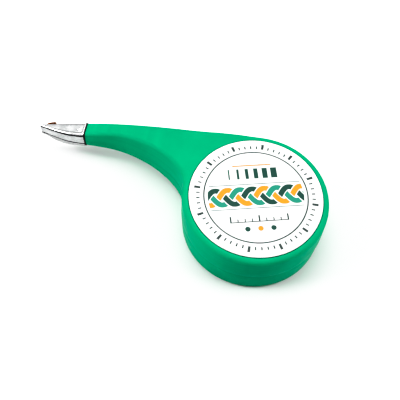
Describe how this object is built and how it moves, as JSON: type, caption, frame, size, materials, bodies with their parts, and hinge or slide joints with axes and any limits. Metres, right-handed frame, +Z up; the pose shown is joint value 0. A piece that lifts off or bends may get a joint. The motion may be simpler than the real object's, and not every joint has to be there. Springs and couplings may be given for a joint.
{
  "type": "desoldering braid dispenser",
  "caption": "Flat round case with a tapering arm and a metal tip that feeds out copper desoldering braid from a coil inside.",
  "frame": {"origin": "on the drum's axis, at the flat underside that the case lies on", "axes": "+Z up along the drum's axis, -X along the arm towards the metal tip, +Y towards the arm's straight side"},
  "size_m": [0.0904, 0.042, 0.0173],
  "materials": {
    "case": "semi-gloss moulded plastic",
    "label": "smooth printed paper",
    "nozzle": "bright plated sheet",
    "braid": "fine woven copper wire"
  },
  "bodies": {
    "case": {"case_lower": "case", "case_upper": "case", "label": "label", "nozzle_upper": "nozzle", "nozzle_lower": "nozzle"},
    "coil": {"braid_coil": "braid"},
    "braid": {"braid_run": "braid"}
  },
  "joints": [
    {"name": "braid_feed", "type": "slide", "parent": "case", "child": "braid", "axis": [-1, 0, 0], "range_m": [0, 0.04]},
    {"name": "coil_turn", "type": "hinge", "parent": "case", "child": "coil", "pos_m": [0, 0, 0.00895], "axis": [0, 0, 1], "range_deg": [0, 130]}
  ],
  "couplings": [
    {"joint": "coil_turn", "follows": "braid_feed", "rad_per_m": 55.71}
  ]
}
